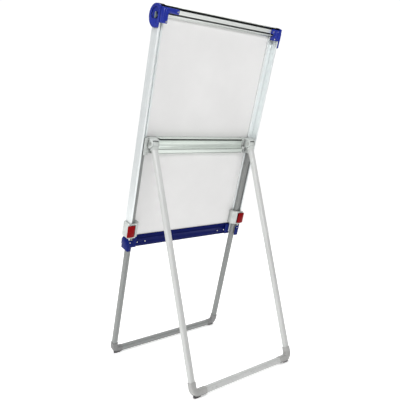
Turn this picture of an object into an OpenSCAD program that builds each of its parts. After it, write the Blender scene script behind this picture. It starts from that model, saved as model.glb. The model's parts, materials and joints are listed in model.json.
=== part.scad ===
// Flipchart easel: a leaning board on two telescoping front legs and a folding rear frame.
// The origin is on the floor under the middle of the whole object. +Z is up, the writing
// side faces -Y and the rear frame stands out to +Y. "Right" is +X, as seen by a writer.
//
// Most parts of the board lie in its own tilted frame, reached through on_board():
// x is the width, y is the height above the front tubes' centre plane, positive to the
// rear, and z is the distance up the slope, counted from the floor.

/* [Board] */
// Distance between the centre lines of the two front tubes
leg_spacing = 680; // [640:5:720]
// How far the board leans back from the vertical, in degrees
lean = 16.15; // [14:0.05:18]
// Lower end of the side rails, measured up the slope
rail_low = 617; // [600:1:640]
// Length of the side rails
rail_len = 1104; // [1050:1:1150]
// Thickness of the whole writing panel
panel_t = 10; // [8:0.5:11]

/* [Tubes] */
// Outside width of the square leg tubes
tube_w = 26; // [24:0.5:26]
// Corner radius of the leg tubes
tube_r = 8; // [5:0.5:9]
// Outside width of the square foot bars
bar_w = 28; // [26:0.5:28]
// Wall thickness of every tube
tube_wall = 1.6; // [1.2:0.1:2.4]
// Outside width of the plastic elbows at the feet
elbow_w = 31; // [30:0.5:31]
// Height of the foot bars' centre lines above the floor
foot_z = 19.5; // [19:0.1:21]
// Top of the front tubes, measured up the slope
front_tube_top = 1088; // [1000:1:1100]

/* [Rear frame] */
// Distance from the middle of the object to each rear tube's centre line
rear_x = 303; // [298:1:304]
// Lean of the rear frame from the vertical, in degrees
rear_lean = 15.05; // [14:0.05:17]
// Hinge line's place up the slope
hinge_s = 1146; // [1120:1:1160]
// Hinge line's height above the front tubes' centre plane
hinge_n = 36; // [35:0.5:38]
// How far in front of the hinge line the rear tubes hang
hinge_offset = 4; // [3:0.5:4.5]

/* [Clamp bar] */
// Outside radius of the curved clamp bar about its pivots
hood_r = 50; // [49.5:0.1:51]
// Thickness of the clamp bar's wall
hood_t = 2.2; // [1.8:0.1:2.4]
// Pivot's place up the slope
pivot_s = 1685; // [1683:0.5:1687]

/* [Levers] */
// Length of the red clamp levers
lever_len = 58; // [50:1:60]
// Middle of the clamp bodies, measured up the slope
clamp_s = 714; // [712:1:725]

/* [Corner brackets] */
// Reach of the right bracket's arm along the top rail
long_arm = 54; // [40:1:60]
// Reach of the left bracket's arm along the top rail
short_arm = 16; // [14:1:40]
// How far the right bracket reaches down below the clamp bar's pivot
long_drop = 25; // [20:1:30]
// How far the left bracket reaches down below the clamp bar's pivot
short_drop = 12; // [8:1:30]

/* [Hidden] */
$fn = 48;

gap = 0.5;                                 // running space around a sliding tube
fit = 0.1;                                 // space between pieces pushed into each other
tiny = 0.05;                               // radial clearance of a turning pin

// Side rail section
leg_x = leg_spacing / 2;
rail_top = rail_low + rail_len;
wall_in = leg_x + tube_w / 2 + gap;        // inner face of the rail's outer wall
rail_out = wall_in + 5.5;                  // outer face of the rail
lip_x = leg_x - tube_w / 2 - gap;          // outer face of the low inner lip
rail_in = lip_x - 6.5;                     // inner edge of the rail
floor_n = -tube_w / 2 - gap;               // channel floor
floor_t = 3;
rim_n = 22;                                // rear edge of the outer wall
rim_t = 4;
lip_n = -5;                                // rear edge of the inner lip
front_n = floor_n - floor_t - panel_t - 3; // front face of the rail
panel_back_n = floor_n - floor_t;          // rear face of the panel
panel_front_n = panel_back_n - panel_t;

// Panel
sheet_t = 0.8;
panel_x = rail_in + 22;                    // half width of the panel, inside the rails
panel_low = rail_low + 8;
panel_high = rail_top - 26;

// Top rail
top_rail_low = panel_high - 10;
top_rail_n = 12;
bracket_t = 4;

// Feet
bend_r = 26;                               // centre line radius of an elbow
elbow_r = 9;
front_arm = 45;
rear_arm_up = 50;
rear_arm_side = 66;
front_bar_s = foot_z / cos(lean);
glide_r = 9;
glide_h = 15;

// Rear frame
knuckle_half = 15;                         // half the space between the two ears of a hinge
knuckle_r = 15.5;
socket_len = 28;
ear_t = 4;
ear_r = 16.5;
ear_in = rear_x - knuckle_half - ear_t;
ear_out = rear_x + knuckle_half + ear_t;
bolt_r = 4;
bracket_low = hinge_s - 58;
bracket_high = hinge_s + 22;
base_n = panel_back_n + 4.5;               // rear face of a hinge bracket's base plate
crossbar_x = ear_in - ear_t - 16;          // half length of the crossbar
hinge_screw_x = lip_x - 1.5;
hinge_screws_s = [hinge_s - 51, hinge_s - 18, hinge_s + 14];
hinge_y0 = hinge_s * sin(lean) + hinge_n * cos(lean);
hinge_z = hinge_s * cos(lean) - hinge_n * sin(lean);
// Distance down the rear frame from the hinge line to the foot bar's centre line
rear_len = (hinge_z - hinge_offset * sin(rear_lean) - foot_z) / cos(rear_lean);

// Place of the floor line of the front tubes, so that the object is centred on the origin
front_low_y = front_bar_s * sin(lean) - (elbow_w / 2 - elbow_r) * (cos(lean) - sin(lean)) - elbow_r;
rear_bar_y = hinge_y0 - hinge_offset * cos(rear_lean) + rear_len * sin(rear_lean);
rear_high_y = rear_bar_y + (elbow_w / 2 - elbow_r) * (cos(rear_lean) + sin(rear_lean)) + elbow_r;
front_y = -(front_low_y + rear_high_y) / 2;

// Clamp bar
hood_x = rail_out - 24;                    // half length of the metal hood, between its end pieces
hood_rear = 78;                            // angles of the hood's rear edge and of its split
hood_split = 121;
disc_t = 7;
disc_flat_n = 24;                          // the flat side of an end disc

// Clamp bodies and levers
clamp_len = 74;
clamp_out = rail_out + 12;
clamp_in = rail_in - 14;
clamp_n = 27;
lever_x = leg_x + 3;
lever_n = 23;
lever_r = 6.5;
pin_r = 2.5;
shoe_t = 2.4;
crown_r = 70;                              // crown of a lever's grip

// Pen tray
tray_low = rail_low - 8;
tray_front_n = -82;
tray_wall = 2.5;
tray_x = rail_in - 0.5;
tray_back_n = floor_n + 2;
tray_screws_x = [238, 284];
tray_screw_s = tray_low + 22.5;
cap_screw_x = lip_x + 22.5;                // screws through the tray ends into the rails' rims
cap_screw_s = tray_low + 44;
screw_hole_r = 1.6;

module at_side(side) {
    if (side > 0) children();
    else mirror([1, 0, 0]) children();
}

module both_sides() {
    children();
    mirror([1, 0, 0]) children();
}

// The board's own tilted frame
module on_board() {
    translate([0, front_y, 0]) rotate([-lean, 0, 0]) children();
}

// The rear frame's own frame: origin on the hinge line, tubes along -z
module on_rear() {
    translate([0, front_y + hinge_y0, hinge_z]) rotate([rear_lean, 0, 0]) children();
}

// A box given by its lowest and highest corner
module block(low, high) {
    translate(low) cube(high - low);
}

module rounded_square(w, r) {
    square([w - 2 * r, w], center = true);
    square([w, w - 2 * r], center = true);
    for (x = [-1, 1], y = [-1, 1])
        translate([x * (w / 2 - r), y * (w / 2 - r)]) circle(r);
}

// A rectangle with round corners, from its low to its high corner
module round_plate(low, high, r) {
    translate([low[0] + r, low[1]]) square([high[0] - low[0] - 2 * r, high[1] - low[1]]);
    translate([low[0], low[1] + r]) square([high[0] - low[0], high[1] - low[1] - 2 * r]);
    for (x = [low[0] + r, high[0] - r], y = [low[1] + r, high[1] - r])
        translate([x, y]) circle(r);
}

module hollow_tube(w, r, len) {
    linear_extrude(len) difference() {
        rounded_square(w, r);
        rounded_square(w - 2 * tube_wall, r - tube_wall);
    }
}

// A bar along +x from the origin
module along_x(len) {
    rotate([90, 0, 90]) linear_extrude(len) children();
}

// A bar along x centred on the origin
module across_x(len) {
    translate([-len / 2, 0, 0]) along_x(len) children();
}

// A cylinder along x, centred on x = 0
module x_rod(r, len) {
    rotate([0, 90, 0]) cylinder(r = r, h = len, center = true);
}

// A cylinder along y, from its own origin to -y
module y_rod(r, len) {
    rotate([90, 0, 0]) cylinder(r = r, h = len);
}

// Pan head screw with a cross recess, seen from +y, with its seat at y = 0
module pan_screw(r, shank) {
    difference() {
        union() {
            rotate([-90, 0, 0]) cylinder(r = r, h = 1.2);
            translate([0, 1.2, 0]) rotate([-90, 0, 0]) cylinder(r1 = r, r2 = r * 0.7, h = 0.9);
            y_rod(r * 0.45, shank);
        }
        for (turn = [0, 90])
            translate([0, 2.1, 0]) rotate([0, turn, 0]) cube([r * 1.1, 1.6, 0.7], center = true);
    }
}

// ---- Writing panel ----

// Holes for the tray's screws, from the tray's flange into the panel's core
module tray_screw_holes() {
    both_sides() for (x = tray_screws_x)
        translate([x, tray_back_n + 1, tray_screw_s]) y_rod(screw_hole_r, 13.5);
}

module writing_sheet() {
    color("white") on_board()
        block([-panel_x, panel_front_n, panel_low], [panel_x, panel_front_n + sheet_t, panel_high]);
}

module board_core() {
    color("burlywood") on_board() difference() {
        block([-panel_x, panel_front_n + sheet_t, panel_low], [panel_x, panel_back_n - sheet_t, panel_high]);
        tray_screw_holes();
    }
}

module back_sheet() {
    color("gainsboro") on_board() difference() {
        block([-panel_x, panel_back_n - sheet_t, panel_low], [panel_x, panel_back_n, panel_high]);
        tray_screw_holes();
    }
}

// ---- Frame of the board ----

// Open channel: the outer wall carries the leg tube, the slot at the front holds the panel
module rail_section() {
    polygon([
        [rail_in, panel_back_n], [wall_in, panel_back_n], [wall_in, panel_front_n],
        [rail_in, panel_front_n], [rail_in, front_n + 1], [rail_in + 1, front_n],
        [rail_out - 3, front_n], [rail_out, front_n + 3], [rail_out, rim_n - 1],
        [rail_out - 1, rim_n], [wall_in - 2, rim_n], [wall_in - 2, rim_n - rim_t],
        [wall_in, rim_n - rim_t - 2], [wall_in, floor_n], [lip_x, floor_n], [lip_x, lip_n],
        [rail_in, lip_n]
    ]);
}

module side_rail(side) {
    color("silver") on_board() at_side(side) difference() {
        translate([0, 0, rail_low]) linear_extrude(rail_len) rail_section();
        // Way for the pivot knob's stem
        translate([rail_out, 0, pivot_s]) x_rod(bolt_r + tiny, 30);
    }
}

// Section of the top rail in (y, z): a slot for the panel, a T-slot in front for the pad pegs,
// and at the rear a broad face, a deep groove and a narrow lip over a step
module top_rail_section() {
    step = top_rail_low + 8;
    groove_low = top_rail_low + 12;
    groove_high = top_rail_low + 19;
    difference() {
        polygon([
            [front_n, top_rail_low], [panel_front_n, top_rail_low], [panel_front_n, panel_high],
            [panel_back_n, panel_high], [panel_back_n, top_rail_low], [-6, top_rail_low], [-6, step],
            [top_rail_n, step], [top_rail_n, groove_low], [-10, groove_low], [-10, groove_high],
            [top_rail_n, groove_high], [top_rail_n, rail_top - 1], [top_rail_n - 1, rail_top],
            [-20, rail_top], [front_n, rail_top - 12]
        ]);
        translate([front_n + 2.5, rail_top - 25]) square([6, 11]);
        translate([front_n - 1, rail_top - 22.5]) square([4, 6]);
        // Hollow behind the broad face
        translate([-16, rail_top - 14]) square([25, 11]);
    }
}

module top_rail() {
    color("silver") on_board() across_x(2 * rail_in - 0.4) top_rail_section();
}

// Section of the crossbar, from the top: a thin fin, a deep groove, a cove, a fine groove,
// a flat band and a deep groove over the lower fin
module crossbar_section() {
    high = hinge_s + 21;
    low = high - 77;
    face_n = panel_back_n + 38;
    difference() {
        translate([panel_back_n, low]) square([face_n - panel_back_n, high - low]);
        translate([-12, high - 9]) square([50, 7.6]);
        translate([face_n + 8.5, high - 29.5]) circle(r = 22, $fn = 96);
        translate([face_n - 6, high - 52.5]) square([10, 2.4]);
        translate([-10, low + 1.5]) square([50, 6]);
        translate([7, low - 1]) square([40, 4]);
        // Hollow behind the flat band
        translate([-12, low + 11]) square([face_n + 8, 9]);
    }
}

module crossbar() {
    color("silver") on_board() across_x(2 * crossbar_x) crossbar_section();
}

// Reach of a corner bracket's arm along the top rail: long on the right, short on the left
function arm_reach(side) = side > 0 ? long_arm : short_arm;

// Reach of a corner bracket down the side rail
function arm_drop(side) = side > 0 ? long_drop : short_drop;

// L-shaped cover over the joint of a side rail and the top rail
module corner_bracket(side) {
    low = pivot_s - arm_drop(side);
    high = rail_top + 3;
    back_n = rim_n + bracket_t;
    arm_end = rail_in - arm_reach(side);
    color("mediumblue") on_board() at_side(side) difference() {
        union() {
            // Vertical arm on the rail
            translate([0, back_n, 0]) rotate([90, 0, 0]) linear_extrude(bracket_t - 0.2)
                round_plate([rail_in + 1, low], [rail_out, high], 3);
            // Bulged arm along the top rail
            translate([arm_end, 0, 0]) along_x(rail_in + 8 - arm_end) intersection() {
                translate([top_rail_n + 0.2, rail_top - 18]) square([20, 21]);
                translate([top_rail_n - 4, rail_top - 8]) circle(r = 17, $fn = 96);
            }
            // Fillet in the inner corner of the two arms
            difference() {
                block([rail_in - 6, top_rail_n + 0.2, rail_top - 24], [rail_in + 2, back_n - 2, rail_top - 16]);
                translate([rail_in - 6, 50, rail_top - 24]) y_rod(6, 60);
            }
            // Inner side wall that closes the step down to the panel
            block([rail_in + 1, top_rail_n - 12, low], [rail_in + 3, back_n - 1, high - 2]);
            // Two ribs down the vertical arm
            for (x = [rail_in + 13, rail_in + 24])
                translate([x, back_n - 0.5, low + 5]) cylinder(r = 2.4, h = high - low - 10);
            // Cap over the open top of the rail
            block([lip_x, floor_n + 1, rail_top + 0.2], [rail_out, back_n, high]);
        }
        translate([rail_in + 7, 50, low + 7]) y_rod(screw_hole_r, 60);
        translate([arm_end + 7, 50, rail_top - 8]) y_rod(screw_hole_r, 60);
    }
}

module corner_screws() {
    arm_seat_n = top_rail_n + 13;
    color("silver") on_board() for (side = [-1, 1]) at_side(side) {
        translate([rail_in + 7, rim_n + bracket_t, pivot_s - arm_drop(side) + 7]) pan_screw(3.2, 4);
        translate([rail_in - arm_reach(side) + 7, arm_seat_n, rail_top - 8]) pan_screw(3.2, 12);
    }
}

// ---- Hinges of the rear frame ----

// One ear: a flat plate from n = low_n, with a round end about the hinge bolt
module ear(x, len, low_n) {
    translate([x, 0, 0]) along_x(len) difference() {
        union() {
            translate([low_n, hinge_s - ear_r - 6])
                square([hinge_n - low_n, bracket_high - hinge_s + ear_r + 6]);
            translate([hinge_n, hinge_s]) circle(r = ear_r, $fn = 96);
            translate([hinge_n - 1, hinge_s]) square([11, bracket_high - hinge_s]);
        }
        translate([hinge_n, hinge_s]) circle(bolt_r + tiny);
    }
}

// Bracket between the crossbar and a side rail: it carries one end of the hinge line
module hinge_bracket(side) {
    color("lightgray") on_board() at_side(side) difference() {
        union() {
            // Base plate on the panel
            block([crossbar_x + 0.2, panel_back_n, bracket_low], [rail_in - 0.2, base_n, bracket_high]);
            // Block that closes the end of the crossbar
            block([crossbar_x + 0.2, base_n - 1, bracket_low + 2], [ear_in + 1, 18, hinge_s - 20]);
            block([crossbar_x + 0.2, base_n - 1, hinge_s - 21], [ear_in + 1, 8, bracket_high]);
            ear(ear_in, ear_t, base_n - 1);
            ear(ear_out - ear_t, ear_t, lip_n + 0.2);
            // Roof over the two ears
            block([ear_in + 1, base_n - 1, bracket_high - 4], [rail_in - 0.2, hinge_n + 10, bracket_high]);
            block([rail_in - 1, lip_n + 0.2, bracket_high - 4], [ear_out, hinge_n + 10, bracket_high]);
            // Foot on the rail's inner lip
            block([rail_in - 3, lip_n + 0.2, bracket_low], [lip_x, 16, bracket_high]);
            // Cover over the channel, beyond the sliding tube
            block([lip_x - 1, 14.4, bracket_low], [lip_x + 17, 17.5, bracket_high]);
        }
        // Pocket beside the crossbar's end
        block([ear_in - 11, base_n + 1, bracket_low - 1], [ear_in - 3, 30, bracket_low + 24]);
        for (s = hinge_screws_s)
            translate([hinge_screw_x, 50, s]) y_rod(screw_hole_r, 80);
    }
}

module hinge_screws() {
    color("gray") on_board() both_sides()
        for (s = hinge_screws_s)
            translate([hinge_screw_x, 17.5, s]) pan_screw(2.5, 12);
}

module hinge_bolts() {
    color("gray") on_board() both_sides() translate([0, hinge_n, hinge_s]) {
        translate([rear_x, 0, 0]) x_rod(bolt_r, 2 * (knuckle_half + ear_t) + 4);
        translate([ear_out + 1.4, 0, 0]) x_rod(6.5, 2.4);
        translate([ear_in - 1.4, 0, 0]) x_rod(6.5, 2.4);
    }
}

// ---- Clamps that hold the front tubes at their height ----

// Section of a clamp body: a saddle round the rail's outer wall and over the tube
module clamp_section() {
    round_plate([rail_out + 0.2, -22], [clamp_out, clamp_n], 4);
    // Bridge over the channel
    translate([lip_x + 1, rim_n + 0.2]) square([rail_out + 2 - lip_x, clamp_n - rim_n - 0.2]);
    translate([lip_x + 1, 14.5]) square([3.5, 12.5]);
    // Inner cheek on the rail's lip and on the panel
    polygon([
        [clamp_in, panel_back_n + 0.2], [rail_in - 0.2, panel_back_n + 0.2], [rail_in - 0.2, lip_n + 0.2],
        [lip_x, lip_n + 0.2], [lip_x, 14.5], [lip_x + 3, 14.5], [lip_x + 3, clamp_n], [lip_x, clamp_n],
        [rail_in - 1, 19], [clamp_in + 5, 16], [clamp_in, 9]
    ]);
}

module clamp_body(side) {
    low = clamp_s - clamp_len / 2;
    cam_half = lever_len / 2 + 0.8;
    color("whitesmoke") on_board() at_side(side) difference() {
        union() {
            translate([0, 0, low]) linear_extrude(clamp_len) clamp_section();
            // Pads over the tube at both ends, which carry the lever's pin
            for (z = [low, clamp_s + cam_half])
                block([lip_x + 2, 14.5, z], [wall_in - 2.5, clamp_n, z + clamp_len / 2 - cam_half]);
        }
        // Window for the cam
        block([lip_x + 4.5, 10, clamp_s - cam_half], [wall_in + 1, 60, clamp_s + cam_half]);
        // Chamfers at the lower and upper end of the outer cheek
        for (z = [low, low + clamp_len])
            translate([clamp_out, 0, z]) rotate([0, 45, 0]) cube([5, 80, 5], center = true);
        translate([lever_x, lever_n, low - 1]) cylinder(r = pin_r + tiny, h = clamp_len + 2);
    }
}

module lever_pins() {
    color("gray") on_board() both_sides()
        translate([lever_x, lever_n, clamp_s - clamp_len / 2 + 1]) cylinder(r = pin_r, h = clamp_len - 2);
}

// Flat pad between the cam and the tube
module clamp_shoes() {
    len = lever_len - 6;
    color("dimgray") on_board() both_sides()
        block([lever_x - 8, tube_w / 2 + 0.3, clamp_s - len / 2],
              [lever_x + 8, tube_w / 2 + 0.3 + shoe_t, clamp_s + len / 2]);
}

module clamp_lever(side) {
    cam_len = lever_len - 1;
    grip_in = lever_x - lever_r;
    grip_out = clamp_out + 4;
    color("red") on_board() at_side(side) difference() {
        union() {
            translate([lever_x, lever_n, clamp_s - cam_len / 2]) cylinder(r = lever_r, h = cam_len);
            // Neck from the cam to the grip
            block([lever_x - lever_r, lever_n, clamp_s - cam_len / 2],
                  [lever_x, clamp_n + 2, clamp_s + cam_len / 2]);
            // Grip with a crowned back, reaching past the clamp body for the finger
            translate([0, 0, clamp_s - lever_len / 2]) linear_extrude(lever_len) intersection() {
                round_plate([grip_in, clamp_n + 0.4], [grip_out, clamp_n + 14], 2.5);
                translate([(grip_in + grip_out) / 2, clamp_n + 7.5 - crown_r]) circle(r = crown_r, $fn = 120);
            }
        }
        translate([lever_x, lever_n, clamp_s - 50]) cylinder(r = pin_r + tiny, h = 100);
        // Grip grooves
        for (z = [-20 : 5 : 20])
            translate([grip_out - 2, clamp_n + 7.4, clamp_s + z]) cube([16, 2.4, 1.4], center = true);
    }
}

// ---- Pen tray ----

// Section of the tray in (y, z): a trough in front and a flange behind the panel
module tray_section() {
    t = tray_wall;
    difference() {
        union() {
            translate([tray_front_n, tray_low]) square([tray_back_n - tray_front_n, t]);
            translate([tray_front_n, tray_low]) square([t, 26]);
            translate([tray_front_n + t / 2, tray_low + 26]) circle(2);
            // Pocket that holds the lower edge of the panel
            translate([panel_front_n - 3, tray_low]) square([3, 34]);
            translate([panel_front_n - 3, tray_low]) square([panel_t + 6, panel_low - tray_low]);
            // Flange behind the panel, with a step two thirds of the way up
            translate([panel_back_n, tray_low]) square([tray_back_n - panel_back_n, 40]);
            translate([panel_back_n, tray_low + 38]) square([tray_back_n - panel_back_n - 2, 24]);
            translate([tray_back_n - 2, tray_low + 40]) circle(2.4);
        }
        // Drip groove along the bottom of the trough
        translate([(tray_front_n + panel_front_n) / 2 - 4, tray_low + t - 0.8]) square([8, 2]);
    }
}

module pen_tray() {
    color("navy") on_board() difference() {
        across_x(2 * tray_x) tray_section();
        tray_screw_holes();
    }
}

module tray_screws() {
    color("lightsteelblue") on_board() both_sides() {
        for (x = tray_screws_x)
            translate([x, tray_back_n, tray_screw_s]) pan_screw(3.4, 12);
        translate([cap_screw_x, rim_n + 4.4, cap_screw_s]) pan_screw(3, 4);
    }
}

// Cap over the end of the tray and the lower end of the side rail
module tray_end(side) {
    low = tray_low - 2;
    back_n = rim_n + 4.4;
    color("mediumblue") on_board() at_side(side) difference() {
        union() {
            // Closes the end of the trough
            translate([tray_x + 0.2, 0, 0]) along_x(3)
                round_plate([tray_front_n, low], [front_n - 0.2, tray_low + 33], 6);
            block([tray_x + 0.2, front_n - 8, low], [tray_x + 3.2, front_n - 0.2, tray_low + 33]);
            // Wall in front of the rail's lower end
            block([tray_x + 0.2, front_n - 2.2, low], [rail_out + 0.2, front_n - 0.2, tray_low + 46]);
            // Side cheek outside the rail
            translate([rail_out + 0.2, 0, 0]) along_x(2.6) polygon([
                [front_n - 2.2, low + 24], [-19, low + 8], [back_n - 2, low], [back_n, low + 2],
                [back_n, tray_low + 60], [back_n - 3, tray_low + 63], [front_n + 12, tray_low + 63],
                [front_n - 2.2, tray_low + 46]
            ]);
            // Floor under the rail's lower end, in front of the tube
            block([tray_x + 0.2, front_n - 2.2, low], [rail_out + 0.4, floor_n - 0.3, rail_low - 0.2]);
            // Floor under the rail's outer wall, beside the tube
            block([wall_in + 0.3, floor_n - 1, low], [rail_out + 0.4, back_n, rail_low - 0.2]);
            // Rear wall over the rail's rim
            block([lip_x + 13, rim_n + 0.2, low], [rail_out + 0.4, back_n, tray_low + 54]);
            // Tab behind the panel, over the end of the tray's flange
            translate([0, tray_back_n + 3, 0]) rotate([90, 0, 0]) linear_extrude(2.5)
                round_plate([tray_x - 29, low], [tray_x, tray_low + 56], 4);
            // Foot that joins the tab to the floor, below the rail and beside the tube
            block([tray_x - 6, tray_back_n + 0.5, low], [tray_x + 5, tray_back_n + 3, rail_low - 0.2]);
            block([tray_x + 0.2, floor_n - 1, low], [tray_x + 5, tray_back_n + 3, rail_low - 0.2]);
        }
        translate([cap_screw_x, 50, cap_screw_s]) y_rod(screw_hole_r, 60);
    }
}

// ---- Front legs ----

module front_tube(side) {
    color("lightgray") on_board() at_side(side)
        translate([leg_x, 0, front_bar_s + front_arm - 12])
        hollow_tube(tube_w, tube_r, front_tube_top - front_bar_s - front_arm + 12);
}

module front_foot_bar() {
    len = 2 * (leg_x - front_arm + 12);
    color("lightgray") on_board() translate([-len / 2, 0, front_bar_s])
        rotate([90, 0, 90]) hollow_tube(bar_w, tube_r, len);
}

// Outer form of an elbow; the corner is at the origin, the leg goes up and the bar to -x
module elbow_form(arm_up, arm_side) {
    translate([-bend_r, 0, bend_r]) rotate([90, 90, 0])
        rotate_extrude(angle = 90) translate([bend_r, 0]) rounded_square(elbow_w, elbow_r);
    translate([0, 0, bend_r]) linear_extrude(arm_up - bend_r) rounded_square(elbow_w, elbow_r);
    translate([-arm_side, 0, 0]) along_x(arm_side - bend_r) rounded_square(elbow_w, elbow_r);
}

// Elbow that joins a leg to a foot bar
module elbow(arm_up, arm_side) {
    difference() {
        elbow_form(arm_up, arm_side);
        translate([0, 0, arm_up - 12 - fit]) linear_extrude(20)
            rounded_square(tube_w + 2 * fit, tube_r + fit);
        translate([-arm_side - 8, 0, 0]) along_x(20 + fit)
            rounded_square(bar_w + 2 * fit, tube_r + fit);
    }
}

module front_elbow(side) {
    color("darkgray") on_board() at_side(side)
        translate([leg_x, 0, front_bar_s]) elbow(front_arm, front_arm);
}

// Rubber pad under the corner of a foot, flat on the floor
module glide_block(x, y) {
    translate([x - 10, y, 0]) {
        cylinder(r = glide_r, h = glide_h);
        translate([-20, -glide_r, 0]) cube([20, 2 * glide_r, glide_h]);
        translate([-20, 0, 0]) cylinder(r = glide_r, h = glide_h);
    }
}

module front_glides() {
    color("dimgray") for (side = [-1, 1]) at_side(side) difference() {
        glide_block(leg_x, front_y + front_bar_s * sin(lean));
        on_board() translate([leg_x, 0, front_bar_s]) elbow_form(front_arm, front_arm);
    }
}

module front_tube_plugs() {
    color("dimgray") on_board() both_sides() translate([leg_x, 0, front_tube_top]) {
        linear_extrude(3) rounded_square(tube_w, tube_r);
        translate([0, 0, -14]) linear_extrude(14)
            rounded_square(tube_w - 2 * tube_wall - 2 * fit, tube_r - tube_wall - fit);
    }
}

// ---- Rear frame ----

module rear_tube(side) {
    top = -socket_len;
    low = -(rear_len - rear_arm_up + 12);
    color("lightgray") on_rear() at_side(side)
        translate([rear_x, -hinge_offset, low]) hollow_tube(tube_w, tube_r, top - low);
}

module rear_foot_bar() {
    len = 2 * (rear_x - rear_arm_side + 12);
    color("lightgray") on_rear() translate([-len / 2, -hinge_offset, -rear_len])
        rotate([90, 0, 90]) hollow_tube(bar_w, tube_r, len);
}

module rear_elbow(side) {
    color("darkgray") on_rear() at_side(side)
        translate([rear_x, -hinge_offset, -rear_len]) elbow(rear_arm_up, rear_arm_side);
}

module rear_glides() {
    color("dimgray") for (side = [-1, 1]) at_side(side) difference() {
        glide_block(rear_x, front_y + rear_bar_y);
        on_rear() translate([rear_x, -hinge_offset, -rear_len]) elbow_form(rear_arm_up, rear_arm_side);
    }
}

// Plastic end of a rear tube, with the knuckle that turns on the hinge bolt
module leg_socket(side) {
    half = knuckle_half - 0.4;
    color("gainsboro") on_rear() at_side(side) difference() {
        union() {
            translate([rear_x - half, 0, 0]) along_x(2 * half) {
                circle(knuckle_r);
                translate([-hinge_offset - tube_w / 2, -socket_len]) square([tube_w, socket_len - 2]);
            }
            translate([rear_x, -hinge_offset, -socket_len - 22]) linear_extrude(22.5)
                rounded_square(tube_w - 2 * tube_wall - 2 * fit, tube_r - tube_wall - fit);
        }
        translate([rear_x, 0, 0]) x_rod(bolt_r + tiny, 60);
    }
}

// ---- Clamp bar for the pad ----

// Part of the hood's wall between two angles about the pivot, counted from the rear upwards
module hood_sector(from, to) {
    reach = 3 * hood_r;
    middle = (from + to) / 2;
    intersection() {
        difference() {
            circle(r = hood_r, $fn = 120);
            circle(r = hood_r - hood_t, $fn = 120);
        }
        polygon([
            [0, 0], [reach * cos(from), reach * sin(from)], [reach * cos(middle), reach * sin(middle)],
            [reach * cos(to), reach * sin(to)]
        ]);
    }
}

// Front of the hood, from the cover's edge down to the lip that presses on the pad
module hood_front() {
    lip_top = -19.5;
    hood_sector(hood_split, 204.5);
    polygon([
        [-45.9, lip_top], [-43.9, lip_top], [front_n - 1.2, -41], [front_n - 1.2, -46],
        [front_n - 3.6, -46], [front_n - 3.6, -42]
    ]);
}

// Top of the hood, with a stiffening bead along its rear edge
module hood_top() {
    bead_r = 1.7;
    hood_sector(hood_rear, hood_split);
    rotate(hood_rear) translate([hood_r - bead_r, 0]) circle(bead_r);
}

module clamp_bar() {
    color("silver") on_board() translate([0, 0, pivot_s]) across_x(2 * hood_x) hood_front();
}

module clamp_bar_cover() {
    color("silver") on_board() translate([0, 0, pivot_s]) across_x(2 * hood_x) hood_top();
}

// Soft strip that grips the paper
module grip_strip() {
    color("black") on_board() translate([0, 0, pivot_s])
        block([-rail_in + 6, front_n - 1.2, -46], [rail_in - 6, panel_front_n - 0.3, -41.5]);
}

// Black end pieces of the hood
module clamp_bar_plugs() {
    color("black") on_board() both_sides() translate([hood_x, 0, pivot_s]) along_x(rail_out - hood_x) {
        hood_front();
        hood_top();
    }
}

// Outline of the hollow in an end disc, level across its lower side, in (y, z)
module disc_hollow() {
    difference() {
        translate([-4, 8]) circle(r = 29, $fn = 96);
        translate([-60, -60]) square([120, 48]);
        translate([disc_flat_n - 3, -60]) square([40, 120]);
    }
}

module disc_outline(r) {
    difference() {
        circle(r = r, $fn = 96);
        translate([disc_flat_n, -60]) square([60, 120]);
    }
}

// Round end of the clamp bar, flat at the rear, with a hollow round its pivot
module end_disc(side) {
    disc_r = hood_r - 1;
    color("mediumblue") on_board() at_side(side) translate([rail_out + 0.3, 0, pivot_s]) difference() {
        union() {
            along_x(disc_t) disc_outline(disc_r);
            // Raised edge round the outside
            translate([disc_t, 0, 0]) along_x(1.2) difference() {
                disc_outline(disc_r);
                circle(r = disc_r - 2.5, $fn = 96);
            }
            // Raised rim round the hollow
            translate([disc_t, 0, 0]) along_x(1.6) difference() {
                intersection() {
                    translate([-4, 8]) circle(r = 32, $fn = 96);
                    translate([-60, -14.5]) square([60 + disc_flat_n, 80]);
                }
                disc_hollow();
            }
        }
        translate([2, 0, 0]) along_x(disc_t) disc_hollow();
        x_rod(bolt_r + tiny, 40);
        // Blind hole in the lower flat
        translate([disc_t, 4, -30]) x_rod(2, 4);
    }
}

// Fixed stem and grip on which each end disc turns
module pivot_knobs() {
    color("slategray") on_board() both_sides() translate([rail_out, 0, pivot_s]) {
        translate([-9, 0, 0]) along_x(14) circle(bolt_r);
        // Head inside the rail's channel
        translate([wall_in - rail_out - 3.3, 0, 0]) along_x(3) circle(7);
        translate([2.6, 0, 0]) along_x(2.4) circle(9);
        translate([4.5, 0, 0]) along_x(5) round_plate([-4.5, -10], [4.5, 15], 3.5);
    }
}

// ---- Pad pegs ----

// Pin on a plate that slides along the T-slot, for the holes in a pad's head
module pad_peg(side) {
    slot_s = rail_top - 19.5;
    half = 14;
    color("dimgray") on_board() at_side(side) translate([200, 0, slot_s]) {
        // Foot in the T-slot, neck in its mouth and plate in front of it
        block([-half, front_n + 3.1, -5], [half, front_n + 7.9, 5]);
        block([-half, front_n - 1, -2.6], [half, front_n + 3.1, 2.6]);
        block([-half, front_n - 3.6, -11], [half, front_n - 0.6, 5]);
        translate([0, front_n - 3, -6]) y_rod(3.5, 6.5);
    }
}

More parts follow.
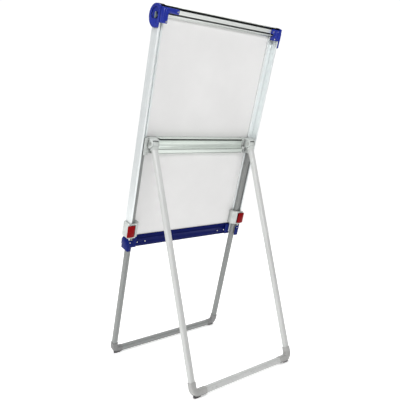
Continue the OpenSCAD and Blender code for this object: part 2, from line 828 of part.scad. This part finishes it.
writing_sheet();
board_core();
back_sheet();
side_rail(-1);  // left_side_rail
side_rail(1);  // right_side_rail
top_rail();
crossbar();
corner_bracket(-1);  // left_corner_bracket
corner_bracket(1);  // right_corner_bracket
pen_tray();
tray_end(-1);  // left_tray_end
tray_end(1);  // right_tray_end
hinge_bracket(-1);  // left_hinge_bracket
hinge_bracket(1);  // right_hinge_bracket
hinge_bolts();
clamp_body(-1);  // left_clamp_body
clamp_body(1);  // right_clamp_body
clamp_shoes();
lever_pins();
pivot_knobs();
corner_screws();
hinge_screws();
tray_screws();
front_tube(-1);  // left_front_tube
front_tube(1);  // right_front_tube
front_foot_bar();
front_elbow(-1);  // left_front_elbow
front_elbow(1);  // right_front_elbow
front_glides();
front_tube_plugs();
rear_tube(-1);  // left_rear_tube
rear_tube(1);  // right_rear_tube
rear_foot_bar();
rear_elbow(-1);  // left_rear_elbow
rear_elbow(1);  // right_rear_elbow
rear_glides();
leg_socket(-1);  // left_leg_socket
leg_socket(1);  // right_leg_socket
clamp_bar();
clamp_bar_cover();
grip_strip();
end_disc(-1);  // left_end_disc
end_disc(1);  // right_end_disc
clamp_bar_plugs();
clamp_lever(-1);  // left_clamp_lever
clamp_lever(1);  // right_clamp_lever
pad_peg(-1);  // left_pad_peg
pad_peg(1);  // right_pad_peg
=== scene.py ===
import json
import math

import bmesh
import bpy
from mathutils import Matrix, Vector


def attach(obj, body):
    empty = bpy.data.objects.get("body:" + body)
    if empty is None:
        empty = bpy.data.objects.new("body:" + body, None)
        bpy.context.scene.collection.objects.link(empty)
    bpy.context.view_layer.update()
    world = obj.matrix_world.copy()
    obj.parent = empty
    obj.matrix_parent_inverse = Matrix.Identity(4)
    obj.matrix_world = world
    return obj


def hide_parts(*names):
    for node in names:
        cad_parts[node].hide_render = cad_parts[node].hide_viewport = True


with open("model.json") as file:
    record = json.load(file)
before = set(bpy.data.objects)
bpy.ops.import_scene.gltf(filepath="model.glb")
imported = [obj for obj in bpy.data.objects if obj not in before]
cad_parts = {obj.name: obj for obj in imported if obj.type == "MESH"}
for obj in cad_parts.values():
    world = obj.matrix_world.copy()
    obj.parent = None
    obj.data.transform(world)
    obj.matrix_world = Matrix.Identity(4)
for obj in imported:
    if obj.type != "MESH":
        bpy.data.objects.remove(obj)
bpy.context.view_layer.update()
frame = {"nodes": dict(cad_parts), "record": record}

# The flipchart easel, seen from behind. Lengths are in metres. The model's own frame has the
# origin on the floor under its middle, the writing side towards -Y and the rear frame at +Y.

BODY_OF = {node: body for body, nodes in frame["record"]["behaviour"]["bodies"].items() for node in nodes}
SLOT_OF = {part["node"]: part["material_slot"] for part in frame["record"]["subparts"]}

# How far the board and the rear frame lean from the vertical
LEAN = math.radians(16.15)
REAR_LEAN = math.radians(-15.05)


# ---- Camera and light ----

CAMERA_PLACE = Vector((1.5503, 1.9076, 1.0929))
CAMERA_YAW = math.radians(-128.86)
CAMERA_PITCH = math.radians(-6.516)
CAMERA_LENS = 44.55

# Brightness of the white surroundings, as light on the object and as seen behind it
FILL_LIGHT = 0.30
BACKDROP_LIGHT = 1.05

# The floor's own glow, which brings it up to the backdrop, and the length of its side
FLOOR_GLOW = 0.46
FLOOR_SIZE = 5.6


def add_camera():
    data = bpy.data.cameras.new("camera")
    data.sensor_width = 36
    data.lens = CAMERA_LENS
    data.clip_start = 0.05
    data.clip_end = 100
    camera = bpy.data.objects.new("camera", data)
    look = Vector((math.cos(CAMERA_YAW) * math.cos(CAMERA_PITCH),
                   math.sin(CAMERA_YAW) * math.cos(CAMERA_PITCH),
                   math.sin(CAMERA_PITCH)))
    camera.rotation_euler = look.to_track_quat("-Z", "Y").to_euler()
    camera.location = CAMERA_PLACE
    bpy.context.scene.collection.objects.link(camera)
    bpy.context.scene.camera = camera


def add_softbox(name, place, target, size, power, spread=180):
    data = bpy.data.lights.new(name, "AREA")
    data.shape = "RECTANGLE"
    data.size, data.size_y = size
    data.energy = power
    data.spread = math.radians(spread)
    light = bpy.data.objects.new(name, data)
    light.location = place
    light.rotation_euler = (Vector(target) - Vector(place)).to_track_quat("-Z", "Y").to_euler()
    bpy.context.scene.collection.objects.link(light)


def studio_world():
    """A white backdrop, which lights the object less than it shows."""
    world = bpy.data.worlds.new("studio")
    world.use_nodes = True
    tree = world.node_tree
    path = tree.nodes.new("ShaderNodeLightPath")
    strength = tree.nodes.new("ShaderNodeMapRange")
    strength.inputs["To Min"].default_value = FILL_LIGHT
    strength.inputs["To Max"].default_value = BACKDROP_LIGHT
    tree.links.new(path.outputs["Is Camera Ray"], strength.inputs["Value"])
    tree.nodes["Background"].inputs["Color"].default_value = (1, 1, 1, 1)
    tree.links.new(strength.outputs["Result"], tree.nodes["Background"].inputs["Strength"])
    return world


def add_lights():
    middle = (0, 0, 0.9)
    add_softbox("key_light", (4.4, 0.5, 2.2), middle, (2.2, 3.0), 88)
    add_softbox("rear_light", (0.7, 3.3, 2.3), (0, 0, 1.8), (2.4, 0.8), 9.5, spread=70)
    add_softbox("top_light", (0.3, 0.2, 4.4), (0, 0, 0), (4.0, 4.0), 95)
    add_softbox("front_light", (-2.4, -3.6, 2.8), middle, (3.0, 2.4), 60)
    bpy.context.scene.world = studio_world()
    bpy.context.scene.view_settings.view_transform = "Standard"


# ---- Material graphs ----

# How metallic the anodised surface is, between plastic and bare metal
ANODISED_METAL = 0.45


class Graph:
    """A node material, built from short calls. Lengths in a pattern are in metres."""

    def __init__(self, name):
        self.material = bpy.data.materials.new(name)
        self.material.use_nodes = True
        self.tree = self.material.node_tree
        self.shader = self.tree.nodes["Principled BSDF"]
        self.place = self.node("ShaderNodeTexCoord").outputs["Object"]

    def node(self, kind, **settings):
        node = self.tree.nodes.new(kind)
        for key, value in settings.items():
            setattr(node, key, value)
        return node

    def put(self, node, **values):
        """Sets or links a node's inputs by name; an underscore stands for a space."""
        for key, value in values.items():
            socket = node.inputs[key.replace("_", " ")]
            if isinstance(value, bpy.types.NodeSocket):
                self.tree.links.new(value, socket)
            else:
                socket.default_value = value
        return node

    def turned(self, angle, stretch=(1, 1, 1)):
        """Coordinates of a frame leaning by angle about X, stretched along its own axes."""
        lean = self.node("ShaderNodeVectorRotate", rotation_type="X_AXIS")
        self.put(lean, Vector=self.place, Angle=angle)
        scale = self.node("ShaderNodeVectorMath", operation="MULTIPLY")
        self.tree.links.new(lean.outputs["Vector"], scale.inputs[0])
        scale.inputs[1].default_value = stretch
        return scale.outputs["Vector"]

    def noise(self, size, detail=3.0, roughness=0.5, place=None):
        """Noise from 0 to 1 with blobs about this size."""
        node = self.node("ShaderNodeTexNoise")
        self.put(node, Vector=place or self.place, Scale=1 / size, Detail=detail, Roughness=roughness)
        return node.outputs["Fac"]

    def ramp(self, value, low, high, out=(0.0, 1.0)):
        """Maps value from the range low..high to the range out, and clamps it."""
        node = self.node("ShaderNodeMapRange")
        self.put(node, Value=value, From_Min=low, From_Max=high, To_Min=out[0], To_Max=out[1])
        return node.outputs["Result"]

    def times(self, a, b, operation="MULTIPLY"):
        node = self.node("ShaderNodeMath", operation=operation)
        for socket, value in zip(node.inputs, (a, b)):
            if isinstance(value, bpy.types.NodeSocket):
                self.tree.links.new(value, socket)
            else:
                socket.default_value = value
        return node.outputs["Value"]

    def mixed(self, factor, first, second):
        """A colour between two colours."""
        node = self.node("ShaderNodeMix", data_type="RGBA")
        sockets = (node.inputs["Factor"], node.inputs[6], node.inputs[7])
        for socket, value in zip(sockets, (factor, first, second)):
            if isinstance(value, bpy.types.NodeSocket):
                self.tree.links.new(value, socket)
            elif socket.type == "RGBA":
                socket.default_value = (*value, 1)
            else:
                socket.default_value = value
        return node.outputs[2]

    def edges(self, radius):
        """1 along sharp edges, 0 on open faces."""
        bevel = self.node("ShaderNodeBevel", samples=4)
        bevel.inputs["Radius"].default_value = radius
        plain = self.node("ShaderNodeNewGeometry")
        dot = self.node("ShaderNodeVectorMath", operation="DOT_PRODUCT")
        self.tree.links.new(bevel.outputs["Normal"], dot.inputs[0])
        self.tree.links.new(plain.outputs["Normal"], dot.inputs[1])
        return self.ramp(dot.outputs["Value"], 0.99, 0.80)

    def painted_hollow_shade(self, reach, dark, open_from):
        """Painted shade: a factor, 1 where the surface is at least as open as open_from, down to dark in deep
        grooves where shade falls.
        """
        node = self.node("ShaderNodeAmbientOcclusion", samples=6)
        node.inputs["Distance"].default_value = reach
        return self.ramp(node.outputs["AO"], 0.15, open_from, (dark, 1.0))

    def shaded(self, colour, factor):
        """A colour times a factor."""
        node = self.node("ShaderNodeVectorMath", operation="SCALE")
        self.tree.links.new(colour, node.inputs[0])
        self.tree.links.new(factor, node.inputs["Scale"])
        return node.outputs["Vector"]

    def bump(self, height, depth, strength=1.0):
        node = self.node("ShaderNodeBump")
        self.put(node, Height=height, Distance=depth, Strength=strength)
        self.put(self.shader, Normal=node.outputs["Normal"])

    def height(self):
        """Height above the floor at rest."""
        split = self.node("ShaderNodeSeparateXYZ")
        self.put(split, Vector=self.place)
        return split.outputs["Z"]


def lighter(colour, factor):
    return tuple(min(1.0, channel * factor) for channel in colour)


def powder_coat(name, colour, lean, worn):
    """Smooth paint on a steel tube: orange peel, long faint rubs, and scuffs near the floor."""
    g = Graph(name)
    cloud = g.noise(0.22, detail=4)
    rubs = g.noise(0.012, detail=5, roughness=0.65, place=g.turned(lean, (1, 1, 0.05)))
    tone = g.mixed(g.ramp(cloud, 0.35, 0.68), lighter(colour, 0.95), lighter(colour, 1.05))
    tone = g.mixed(g.ramp(rubs, 0.60, 0.80, (0.0, 0.35)), tone, lighter(colour, 0.80))
    near_floor = g.ramp(g.height(), 0.26, 0.03)
    scuffs = g.ramp(g.noise(0.006, detail=6, roughness=0.7), 0.58, 0.66)
    dirt = g.times(g.times(near_floor, scuffs), 0.55)
    tone = g.mixed(dirt, tone, worn)
    chips = g.times(g.edges(0.0012), g.ramp(g.noise(0.009, detail=4), 0.60, 0.68))
    tone = g.mixed(g.times(chips, 0.6), tone, worn)
    g.put(g.shader, Base_Color=tone, Roughness=g.ramp(rubs, 0.3, 0.8, (0.34, 0.50)))
    g.bump(g.noise(0.0018, detail=2), 0.00006, 0.5)
    return g.material


def anodised(name, colour, lean, stretch, painted_groove_shade=0.30):
    """Satin aluminium with the fine lines of its extrusion, faint handling marks, and painted shade darkening
    its grooves.
    """
    g = Graph(name)
    lines = g.noise(0.0011, detail=4, roughness=0.6, place=g.turned(lean, stretch))
    wide = g.noise(0.010, detail=3, place=g.turned(lean, stretch))
    marks = g.noise(0.05, detail=6, roughness=0.62)
    tone = g.mixed(g.ramp(lines, 0.3, 0.7), lighter(colour, 0.94), lighter(colour, 1.05))
    tone = g.mixed(g.ramp(wide, 0.4, 0.7, (0.0, 0.4)), tone, lighter(colour, 0.90))
    tone = g.mixed(g.ramp(marks, 0.60, 0.72, (0.0, 0.25)), tone, lighter(colour, 0.82))
    # Painted shade: the colour is darkened in grooves and recesses, where shade falls.
    tone = g.shaded(tone, g.painted_hollow_shade(reach=0.016, dark=painted_groove_shade, open_from=0.74))
    rough = g.times(g.ramp(lines, 0.3, 0.7, (0.30, 0.42)), g.ramp(marks, 0.4, 0.7, (0.95, 1.2)))
    g.put(g.shader, Base_Color=tone, Roughness=rough, Metallic=ANODISED_METAL)
    g.bump(lines, 0.00005, 0.4)
    return g.material


def moulded(name, colour, rough, grain, wear_and_edge_highlight, shine=0.5):
    """Injection moulded plastic: grain, soft sheen changes, edges paled partly as rubbed wear and partly as a
    painted highlight, hairlines, and painted shade darkening its hollows.
    """
    g = Graph(name)
    cloud = g.noise(0.035, detail=4)
    # Edge mask for paling that is partly rubbed wear and partly painted highlight.
    rubbed_and_highlit_edge = g.edges(0.0009)
    patchy = g.ramp(g.noise(0.012, detail=4), 0.42, 0.62)
    hair = g.ramp(g.noise(0.004, detail=8, roughness=0.75, place=g.turned(0.6, (1, 0.12, 1))), 0.62, 0.70)
    tone = g.mixed(g.ramp(cloud, 0.35, 0.68), lighter(colour, 0.90), lighter(colour, 1.08))
    pale = tuple(channel + (0.75 - channel) * wear_and_edge_highlight for channel in colour)
    # Edges pale towards a light tone: partly rubbed wear, partly painted highlight.
    tone = g.mixed(g.times(g.times(rubbed_and_highlit_edge, patchy), 0.5), tone, pale)
    tone = g.mixed(g.times(hair, wear_and_edge_highlight * 0.4), tone, pale)
    # Painted shade: the colour is darkened in hollows and recesses, where shade falls.
    tone = g.shaded(tone, g.painted_hollow_shade(reach=0.024, dark=0.10, open_from=0.93))
    g.put(g.shader, Base_Color=tone, Roughness=g.ramp(cloud, 0.3, 0.7, (rough * 0.88, rough * 1.15)),
          Specular_IOR_Level=shine)
    g.bump(g.noise(grain, detail=2), grain * 0.05, 0.35)
    return g.material


def backing_sheet(name, colour):
    """Smooth pale sheet behind the board, with faint mottling and long light scratches."""
    g = Graph(name)
    cloud = g.noise(0.30, detail=5, roughness=0.6)
    speck = g.noise(0.0016, detail=3)
    scratch = g.ramp(g.noise(0.003, detail=8, roughness=0.8, place=g.turned(LEAN, (0.05, 1, 1))), 0.66, 0.74)
    tone = g.mixed(g.ramp(cloud, 0.35, 0.68), lighter(colour, 0.965), lighter(colour, 1.025))
    tone = g.mixed(g.ramp(speck, 0.55, 0.75, (0.0, 0.12)), tone, lighter(colour, 0.85))
    tone = g.mixed(g.times(scratch, 0.10), tone, lighter(colour, 0.80))
    g.put(g.shader, Base_Color=tone, Roughness=g.ramp(cloud, 0.3, 0.7, (0.46, 0.58)))
    g.bump(speck, 0.00003, 0.3)
    return g.material


def dry_wipe_face(name, colour):
    """Glossy white face with the ghost of wiped ink in broad strokes."""
    g = Graph(name)
    strokes = g.noise(0.05, detail=6, roughness=0.7, place=g.turned(LEAN, (0.22, 1, 1)))
    cloud = g.noise(0.25, detail=3)
    tone = g.mixed(g.ramp(strokes, 0.52, 0.78, (0.0, 0.35)), colour, lighter(colour, 0.88))
    tone = g.mixed(g.ramp(cloud, 0.4, 0.7, (0.0, 0.3)), tone, lighter(colour, 0.95))
    g.put(g.shader, Base_Color=tone, Roughness=g.ramp(strokes, 0.35, 0.75, (0.09, 0.24)), Coat_Weight=0.3)
    g.bump(g.noise(0.004, detail=2), 0.00002, 0.2)
    return g.material


def pressed_board(name, colour):
    """Fibrous edge of the board's core."""
    g = Graph(name)
    fibre = g.noise(0.0014, detail=6, roughness=0.75, place=g.turned(LEAN, (0.3, 1, 0.3)))
    tone = g.mixed(g.ramp(fibre, 0.35, 0.65), lighter(colour, 0.7), lighter(colour, 1.25))
    g.put(g.shader, Base_Color=tone, Roughness=0.85)
    g.bump(fibre, 0.0003, 0.7)
    return g.material


def rubber(name, colour):
    """Matt rubber, dusty where it touches the floor."""
    g = Graph(name)
    grit = g.noise(0.0015, detail=4, roughness=0.7)
    dust = g.times(g.ramp(g.height(), 0.012, 0.0), g.ramp(g.noise(0.006, detail=5), 0.4, 0.6))
    tone = g.mixed(g.ramp(grit, 0.35, 0.7), lighter(colour, 0.75), lighter(colour, 1.35))
    tone = g.mixed(g.times(dust, 0.35), tone, (0.35, 0.33, 0.31))
    g.put(g.shader, Base_Color=tone, Roughness=g.ramp(grit, 0.3, 0.7, (0.62, 0.80)))
    g.bump(grit, 0.00015, 0.6)
    return g.material


def zinc_plate(name, colour):
    """Bright plated screws and pins."""
    g = Graph(name)
    spin = g.noise(0.0007, detail=4, roughness=0.7)
    stain = g.noise(0.006, detail=3)
    tone = g.mixed(g.ramp(stain, 0.4, 0.7), lighter(colour, 1.05), lighter(colour, 0.82))
    g.put(g.shader, Base_Color=tone, Roughness=g.ramp(spin, 0.3, 0.7, (0.22, 0.40)), Metallic=0.9)
    g.bump(spin, 0.00003, 0.4)
    return g.material


def stage_paint(name, colour):
    """White floor that glows a little, so that it runs into the backdrop."""
    g = Graph(name)
    tone = g.mixed(g.noise(0.8, detail=2), lighter(colour, 0.99), colour)
    g.put(g.shader, Base_Color=tone, Roughness=0.7, Emission_Color=(1, 1, 1, 1), Emission_Strength=FLOOR_GLOW)
    return g.material


# How a pattern is stretched: long lines up the board, or long lines across it
ALONG_BOARD = (1, 1, 0.03)
ACROSS = (0.03, 1, 1)

MATERIALS = {
    "rail_metal": anodised("rail_metal", (0.90, 0.94, 0.94), LEAN, ALONG_BOARD),
    # The top rail and the crossbar get deep painted shade in their grooves.
    "top_rail_metal": anodised("top_rail_metal", (0.88, 0.91, 0.88), LEAN, ACROSS, painted_groove_shade=0.08),
    "crossbar_metal": anodised("crossbar_metal", (0.76, 0.82, 0.77), LEAN, ACROSS, painted_groove_shade=0.08),
    # The front tubes have the rear tubes' paint, darkened as painted shade.
    "front_tube_paint_shaded": powder_coat("front_tube_paint_shaded", (0.25, 0.26, 0.255), LEAN, (0.16, 0.155, 0.15)),
    "rear_tube_paint": powder_coat("rear_tube_paint", (0.60, 0.61, 0.60), REAR_LEAN, (0.22, 0.21, 0.20)),
    "board_back": backing_sheet("board_back", (0.80, 0.795, 0.79)),
    "board_face": dry_wipe_face("board_face", (0.88, 0.88, 0.87)),
    "board_core": pressed_board("board_core", (0.42, 0.33, 0.22)),
    # The blue's strong edge paling is partly wear and partly painted highlight.
    "blue_plastic": moulded("blue_plastic", (0.008, 0.024, 0.31), 0.16, 0.0012, shine=0.50, wear_and_edge_highlight=0.34),
    "tray_plastic": moulded("tray_plastic", (0.002, 0.006, 0.090), 0.24, 0.0012, shine=0.06, wear_and_edge_highlight=0.06),
    "tray_end_plastic": moulded("tray_end_plastic", (0.003, 0.012, 0.150), 0.24, 0.0012,
                                shine=0.10, wear_and_edge_highlight=0.08),
    "pale_plastic": moulded("pale_plastic", (0.62, 0.65, 0.63), 0.42, 0.0010, wear_and_edge_highlight=0.10),
    "foot_plastic": moulded("foot_plastic", (0.42, 0.42, 0.41), 0.48, 0.0010, wear_and_edge_highlight=0.10),
    # The front elbows have a darker copy of the foot plastic, darkened as painted shade.
    "front_foot_plastic_shaded": moulded("front_foot_plastic_shaded", (0.23, 0.23, 0.23), 0.48, 0.0010, wear_and_edge_highlight=0.10),
    "dark_plastic": moulded("dark_plastic", (0.022, 0.022, 0.026), 0.40, 0.0010, wear_and_edge_highlight=0.12),
    "knob_plastic": moulded("knob_plastic", (0.16, 0.20, 0.22), 0.35, 0.0010, wear_and_edge_highlight=0.15),
    "red_plastic": moulded("red_plastic", (0.27, 0.0005, 0.003), 0.30, 0.0010, shine=0.08, wear_and_edge_highlight=0.10),
    "foot_rubber": rubber("foot_rubber", (0.040, 0.040, 0.042)),
    "zinc": zinc_plate("zinc", (0.62, 0.62, 0.60)),
}

# Nodes whose material differs from the one their slot names
OWN_MATERIAL = {
    "top_rail": "top_rail_metal",
    "clamp_bar": "top_rail_metal",
    "clamp_bar_cover": "top_rail_metal",
    "left_tray_end": "tray_end_plastic",
    "right_tray_end": "tray_end_plastic",
    # The front elbows and the front tubes and bar take darker copies of their materials, which are painted
    # shade.
    "left_front_elbow": "front_foot_plastic_shaded",
    "right_front_elbow": "front_foot_plastic_shaded",
    "front_foot_bar": "front_tube_paint_shaded",
    "left_front_tube": "front_tube_paint_shaded",
    "right_front_tube": "front_tube_paint_shaded",
    "rear_foot_bar": "rear_tube_paint",
    "left_rear_tube": "rear_tube_paint",
    "right_rear_tube": "rear_tube_paint",
}


def material_of(node):
    return MATERIALS[OWN_MATERIAL.get(node, SLOT_OF[node])]


# ---- Finished pieces ----

# Width of the rounded edge that each kind of piece gets, in metres
EDGE_ROUND = {
    "blue_plastic": 0.0007,
    "tray_plastic": 0.0005,
    "pale_plastic": 0.0007,
    "red_plastic": 0.0008,
    "knob_plastic": 0.0006,
    "rail_metal": 0.0004,
    "crossbar_metal": 0.0004,
    "dark_plastic": 0.0004,
}
SHARP_ANGLE = math.radians(34)

# Corners nearer than this are one corner, and edges flatter than this are taken out
WELD_DISTANCE = 1e-6
FLAT_ANGLE = math.radians(0.4)


def softened(node, width):
    """A copy of a CAD node with its sharp edges rounded off, shown in the node's place."""
    mesh = frame["nodes"][node].data.copy()
    mesh.name = node + "_finished"
    piece = bpy.data.objects.new(node + "_finished", mesh)
    bpy.context.scene.collection.objects.link(piece)
    form = bmesh.new()
    form.from_mesh(mesh)
    bmesh.ops.remove_doubles(form, verts=form.verts, dist=WELD_DISTANCE)
    bmesh.ops.dissolve_limit(form, angle_limit=FLAT_ANGLE, verts=form.verts, edges=form.edges)
    form.to_mesh(mesh)
    form.free()
    mesh.shade_smooth()
    bevel = piece.modifiers.new("soft_edges", "BEVEL")
    bevel.width = width
    bevel.segments = 2
    bevel.limit_method = "ANGLE"
    bevel.angle_limit = SHARP_ANGLE
    bevel.harden_normals = True
    mesh.materials.clear()
    mesh.materials.append(material_of(node))
    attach(piece, BODY_OF[node])
    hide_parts(node)


def dress_nodes():
    for node, thing in frame["nodes"].items():
        width = EDGE_ROUND.get(SLOT_OF[node])
        if width:
            softened(node, width)
        else:
            for index in range(len(thing.material_slots)):
                thing.material_slots[index].material = material_of(node)


def add_floor():
    bpy.ops.mesh.primitive_plane_add(size=FLOOR_SIZE, location=(0, 0, 0))
    floor = bpy.context.active_object
    floor.name = "floor"
    floor.data.materials.append(stage_paint("floor_paint", (0.90, 0.90, 0.90)))


add_camera()
add_lights()
add_floor()
dress_nodes()
